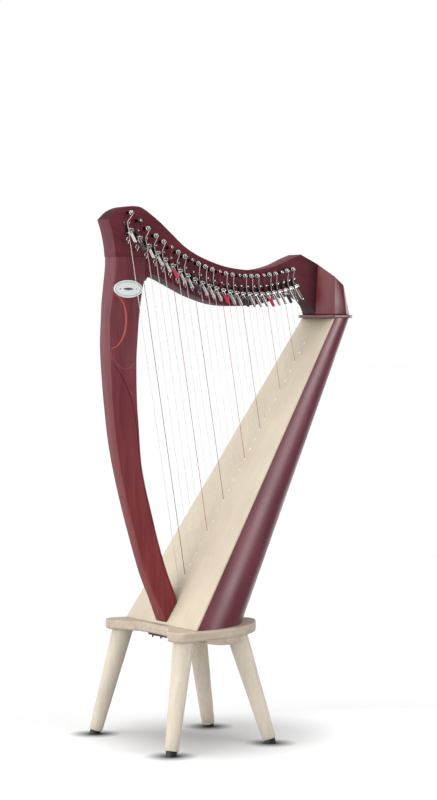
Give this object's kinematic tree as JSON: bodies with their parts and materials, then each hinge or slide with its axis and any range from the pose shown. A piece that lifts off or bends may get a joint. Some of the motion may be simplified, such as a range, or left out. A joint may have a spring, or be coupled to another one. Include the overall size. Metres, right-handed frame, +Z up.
{
  "type": "lever harp",
  "caption": "Small lever harp with curved neck and pillar, tapered hollow soundbox, nylon strings with sharping levers, on a legged wooden stool.",
  "frame": {"origin": "on the floor under the middle of the whole object's box", "axes": "+X from the pillar towards the soundbox and the player, +Y to the side without levers, +Z up"},
  "size_m": [0.582, 0.3452, 1.0818],
  "materials": {
    "burgundy_wood": "satin burgundy stain over maple",
    "burgundy_shell": "satin burgundy stain over laminated maple",
    "maple_board": "satin natural soundboard veneer",
    "maple_stool": "satin pale maple",
    "string_nylon": "clear nylon, with red C strings and black F strings",
    "nickel": "bright nickel",
    "lever_red": "glossy red",
    "lever_black": "glossy black"
  },
  "bodies": {
    "root": {"neck": "burgundy_wood", "pillar": "burgundy_wood", "soundbox_shell": "burgundy_shell", "soundboard": "maple_board", "strings": "string_nylon", "stool_seat": "maple_stool", "stool_leg_front_left": "maple_stool", "stool_leg_front_right": "maple_stool", "stool_leg_back_left": "maple_stool", "stool_leg_back_right": "maple_stool"},
    "lever_01": {"lever_01": "nickel"},
    "lever_02": {"lever_02": "lever_black"},
    "lever_03": {"lever_03": "nickel"},
    "lever_04": {"lever_04": "nickel"},
    "lever_05": {"lever_05": "nickel"},
    "lever_06": {"lever_06": "lever_red"},
    "lever_07": {"lever_07": "nickel"},
    "lever_08": {"lever_08": "nickel"},
    "lever_09": {"lever_09": "lever_black"},
    "lever_10": {"lever_10": "nickel"},
    "lever_11": {"lever_11": "nickel"},
    "lever_12": {"lever_12": "nickel"},
    "lever_13": {"lever_13": "lever_red"},
    "lever_14": {"lever_14": "nickel"},
    "lever_15": {"lever_15": "nickel"},
    "lever_16": {"lever_16": "lever_black"},
    "lever_17": {"lever_17": "nickel"},
    "lever_18": {"lever_18": "nickel"},
    "lever_19": {"lever_19": "nickel"},
    "lever_20": {"lever_20": "lever_red"},
    "lever_21": {"lever_21": "nickel"},
    "lever_22": {"lever_22": "nickel"},
    "lever_23": {"lever_23": "lever_black"},
    "lever_24": {"lever_24": "nickel"},
    "lever_25": {"lever_25": "nickel"},
    "tuning_pin_01": {"tuning_pin_01": "nickel"},
    "tuning_pin_02": {"tuning_pin_02": "nickel"},
    "tuning_pin_03": {"tuning_pin_03": "nickel"},
    "tuning_pin_04": {"tuning_pin_04": "nickel"},
    "tuning_pin_05": {"tuning_pin_05": "nickel"},
    "tuning_pin_06": {"tuning_pin_06": "nickel"},
    "tuning_pin_07": {"tuning_pin_07": "nickel"},
    "tuning_pin_08": {"tuning_pin_08": "nickel"},
    "tuning_pin_09": {"tuning_pin_09": "nickel"},
    "tuning_pin_10": {"tuning_pin_10": "nickel"},
    "tuning_pin_11": {"tuning_pin_11": "nickel"},
    "tuning_pin_12": {"tuning_pin_12": "nickel"},
    "tuning_pin_13": {"tuning_pin_13": "nickel"},
    "tuning_pin_14": {"tuning_pin_14": "nickel"},
    "tuning_pin_15": {"tuning_pin_15": "nickel"},
    "tuning_pin_16": {"tuning_pin_16": "nickel"},
    "tuning_pin_17": {"tuning_pin_17": "nickel"},
    "tuning_pin_18": {"tuning_pin_18": "nickel"},
    "tuning_pin_19": {"tuning_pin_19": "nickel"},
    "tuning_pin_20": {"tuning_pin_20": "nickel"},
    "tuning_pin_21": {"tuning_pin_21": "nickel"},
    "tuning_pin_22": {"tuning_pin_22": "nickel"},
    "tuning_pin_23": {"tuning_pin_23": "nickel"},
    "tuning_pin_24": {"tuning_pin_24": "nickel"},
    "tuning_pin_25": {"tuning_pin_25": "nickel"}
  },
  "joints": [
    {"name": "lever_01_flip", "type": "hinge", "parent": "root", "child": "lever_01", "pos_m": [-0.25456, -0.04605, 1.03221], "axis": [-0.9819, 0, -0.1895], "range_deg": [0, 90]},
    {"name": "lever_02_flip", "type": "hinge", "parent": "root", "child": "lever_02", "pos_m": [-0.23393, -0.046, 1.01694], "axis": [-0.9819, 0, -0.1893], "range_deg": [0, 90]},
    {"name": "lever_03_flip", "type": "hinge", "parent": "root", "child": "lever_03", "pos_m": [-0.21331, -0.04594, 1.00165], "axis": [-0.982, 0, -0.189], "range_deg": [0, 90]},
    {"name": "lever_04_flip", "type": "hinge", "parent": "root", "child": "lever_04", "pos_m": [-0.19366, -0.04588, 0.98748], "axis": [-0.9819, 0, -0.1897], "range_deg": [0, 90]},
    {"name": "lever_05_flip", "type": "hinge", "parent": "root", "child": "lever_05", "pos_m": [-0.17561, -0.04582, 0.97474], "axis": [-0.9813, 0, -0.1924], "range_deg": [0, 90]},
    {"name": "lever_06_flip", "type": "hinge", "parent": "root", "child": "lever_06", "pos_m": [-0.15852, -0.04575, 0.96312], "axis": [-0.9805, 0, -0.1967], "range_deg": [0, 90]},
    {"name": "lever_07_flip", "type": "hinge", "parent": "root", "child": "lever_07", "pos_m": [-0.1415, -0.04567, 0.95272], "axis": [-0.9796, 0, -0.201], "range_deg": [0, 90]},
    {"name": "lever_08_flip", "type": "hinge", "parent": "root", "child": "lever_08", "pos_m": [-0.12418, -0.04559, 0.94364], "axis": [-0.9789, 0, -0.2045], "range_deg": [0, 90]},
    {"name": "lever_09_flip", "type": "hinge", "parent": "root", "child": "lever_09", "pos_m": [-0.10692, -0.04551, 0.93577], "axis": [-0.9781, 0, -0.2079], "range_deg": [0, 90]},
    {"name": "lever_10_flip", "type": "hinge", "parent": "root", "child": "lever_10", "pos_m": [-0.08992, -0.04541, 0.92895], "axis": [-0.9773, 0, -0.2116], "range_deg": [0, 90]},
    {"name": "lever_11_flip", "type": "hinge", "parent": "root", "child": "lever_11", "pos_m": [-0.07324, -0.04531, 0.92319], "axis": [-0.9764, 0, -0.2158], "range_deg": [0, 90]},
    {"name": "lever_12_flip", "type": "hinge", "parent": "root", "child": "lever_12", "pos_m": [-0.05681, -0.0452, 0.91846], "axis": [-0.9754, 0, -0.2204], "range_deg": [0, 90]},
    {"name": "lever_13_flip", "type": "hinge", "parent": "root", "child": "lever_13", "pos_m": [-0.04063, -0.04508, 0.9146], "axis": [-0.9742, 0, -0.2255], "range_deg": [0, 90]},
    {"name": "lever_14_flip", "type": "hinge", "parent": "root", "child": "lever_14", "pos_m": [-0.02472, -0.04495, 0.91158], "axis": [-0.9729, 0, -0.2313], "range_deg": [0, 90]},
    {"name": "lever_15_flip", "type": "hinge", "parent": "root", "child": "lever_15", "pos_m": [-0.00905, -0.04481, 0.90943], "axis": [-0.9713, 0, -0.2378], "range_deg": [0, 90]},
    {"name": "lever_16_flip", "type": "hinge", "parent": "root", "child": "lever_16", "pos_m": [0.00646, -0.04465, 0.90798], "axis": [-0.9696, 0, -0.2449], "range_deg": [0, 90]},
    {"name": "lever_17_flip", "type": "hinge", "parent": "root", "child": "lever_17", "pos_m": [0.02188, -0.04448, 0.90721], "axis": [-0.9676, 0, -0.2524], "range_deg": [0, 90]},
    {"name": "lever_18_flip", "type": "hinge", "parent": "root", "child": "lever_18", "pos_m": [0.03715, -0.04428, 0.90713], "axis": [-0.9654, 0, -0.2608], "range_deg": [0, 90]},
    {"name": "lever_19_flip", "type": "hinge", "parent": "root", "child": "lever_19", "pos_m": [0.05219, -0.04407, 0.90771], "axis": [-0.9628, 0, -0.2703], "range_deg": [0, 90]},
    {"name": "lever_20_flip", "type": "hinge", "parent": "root", "child": "lever_20", "pos_m": [0.06699, -0.04383, 0.90896], "axis": [-0.9596, 0, -0.2814], "range_deg": [0, 90]},
    {"name": "lever_21_flip", "type": "hinge", "parent": "root", "child": "lever_21", "pos_m": [0.08156, -0.04356, 0.91086], "axis": [-0.9558, 0, -0.2941], "range_deg": [0, 90]},
    {"name": "lever_22_flip", "type": "hinge", "parent": "root", "child": "lever_22", "pos_m": [0.09584, -0.04326, 0.91332], "axis": [-0.9509, 0, -0.3096], "range_deg": [0, 90]},
    {"name": "lever_23_flip", "type": "hinge", "parent": "root", "child": "lever_23", "pos_m": [0.10968, -0.04292, 0.91648], "axis": [-0.9445, 0, -0.3286], "range_deg": [0, 90]},
    {"name": "lever_24_flip", "type": "hinge", "parent": "root", "child": "lever_24", "pos_m": [0.12324, -0.04254, 0.92021], "axis": [-0.9361, 0, -0.3516], "range_deg": [0, 90]},
    {"name": "lever_25_flip", "type": "hinge", "parent": "root", "child": "lever_25", "pos_m": [0.13687, -0.04208, 0.92398], "axis": [-0.9256, 0, -0.3785], "range_deg": [0, 90]},
    {"name": "tuning_pin_01_turn", "type": "hinge", "parent": "root", "child": "tuning_pin_01", "pos_m": [-0.24755, 0, 1.068], "axis": [0, 1, 0], "continuous": true},
    {"name": "tuning_pin_02_turn", "type": "hinge", "parent": "root", "child": "tuning_pin_02", "pos_m": [-0.22879, 0, 1.05263], "axis": [0, 1, 0], "continuous": true},
    {"name": "tuning_pin_03_turn", "type": "hinge", "parent": "root", "child": "tuning_pin_03", "pos_m": [-0.21003, 0, 1.03725], "axis": [0, 1, 0], "continuous": true},
    {"name": "tuning_pin_04_turn", "type": "hinge", "parent": "root", "child": "tuning_pin_04", "pos_m": [-0.19185, 0, 1.0233], "axis": [0, 1, 0], "continuous": true},
    {"name": "tuning_pin_05_turn", "type": "hinge", "parent": "root", "child": "tuning_pin_05", "pos_m": [-0.17449, 0, 1.01137], "axis": [0, 1, 0], "continuous": true},
    {"name": "tuning_pin_06_turn", "type": "hinge", "parent": "root", "child": "tuning_pin_06", "pos_m": [-0.15772, 0, 1.00086], "axis": [0, 1, 0], "continuous": true},
    {"name": "tuning_pin_07_turn", "type": "hinge", "parent": "root", "child": "tuning_pin_07", "pos_m": [-0.14135, 0, 0.9914], "axis": [0, 1, 0], "continuous": true},
    {"name": "tuning_pin_08_turn", "type": "hinge", "parent": "root", "child": "tuning_pin_08", "pos_m": [-0.12554, 0, 0.98298], "axis": [0, 1, 0], "continuous": true},
    {"name": "tuning_pin_09_turn", "type": "hinge", "parent": "root", "child": "tuning_pin_09", "pos_m": [-0.11014, 0, 0.97563], "axis": [0, 1, 0], "continuous": true},
    {"name": "tuning_pin_10_turn", "type": "hinge", "parent": "root", "child": "tuning_pin_10", "pos_m": [-0.09455, 0, 0.969], "axis": [0, 1, 0], "continuous": true},
    {"name": "tuning_pin_11_turn", "type": "hinge", "parent": "root", "child": "tuning_pin_11", "pos_m": [-0.07844, 0, 0.96293], "axis": [0, 1, 0], "continuous": true},
    {"name": "tuning_pin_12_turn", "type": "hinge", "parent": "root", "child": "tuning_pin_12", "pos_m": [-0.06215, 0, 0.95759], "axis": [0, 1, 0], "continuous": true},
    {"name": "tuning_pin_13_turn", "type": "hinge", "parent": "root", "child": "tuning_pin_13", "pos_m": [-0.04605, 0, 0.9532], "axis": [0, 1, 0], "continuous": true},
    {"name": "tuning_pin_14_turn", "type": "hinge", "parent": "root", "child": "tuning_pin_14", "pos_m": [-0.03024, 0, 0.94988], "axis": [0, 1, 0], "continuous": true},
    {"name": "tuning_pin_15_turn", "type": "hinge", "parent": "root", "child": "tuning_pin_15", "pos_m": [-0.01464, 0, 0.9475], "axis": [0, 1, 0], "continuous": true},
    {"name": "tuning_pin_16_turn", "type": "hinge", "parent": "root", "child": "tuning_pin_16", "pos_m": [0.00065, 0, 0.9459], "axis": [0, 1, 0], "continuous": true},
    {"name": "tuning_pin_17_turn", "type": "hinge", "parent": "root", "child": "tuning_pin_17", "pos_m": [0.01548, 0, 0.94508], "axis": [0, 1, 0], "continuous": true},
    {"name": "tuning_pin_18_turn", "type": "hinge", "parent": "root", "child": "tuning_pin_18", "pos_m": [0.02999, 0, 0.94503], "axis": [0, 1, 0], "continuous": true},
    {"name": "tuning_pin_19_turn", "type": "hinge", "parent": "root", "child": "tuning_pin_19", "pos_m": [0.04445, 0, 0.9456], "axis": [0, 1, 0], "continuous": true},
    {"name": "tuning_pin_20_turn", "type": "hinge", "parent": "root", "child": "tuning_pin_20", "pos_m": [0.05897, 0, 0.94677], "axis": [0, 1, 0], "continuous": true},
    {"name": "tuning_pin_21_turn", "type": "hinge", "parent": "root", "child": "tuning_pin_21", "pos_m": [0.07344, 0, 0.94854], "axis": [0, 1, 0], "continuous": true},
    {"name": "tuning_pin_22_turn", "type": "hinge", "parent": "root", "child": "tuning_pin_22", "pos_m": [0.08785, 0, 0.9508], "axis": [0, 1, 0], "continuous": true},
    {"name": "tuning_pin_23_turn", "type": "hinge", "parent": "root", "child": "tuning_pin_23", "pos_m": [0.10216, 0, 0.95365], "axis": [0, 1, 0], "continuous": true},
    {"name": "tuning_pin_24_turn", "type": "hinge", "parent": "root", "child": "tuning_pin_24", "pos_m": [0.11641, 0, 0.95697], "axis": [0, 1, 0], "continuous": true},
    {"name": "tuning_pin_25_turn", "type": "hinge", "parent": "root", "child": "tuning_pin_25", "pos_m": [0.13065, 0, 0.9603], "axis": [0, 1, 0], "continuous": true}
  ]
}
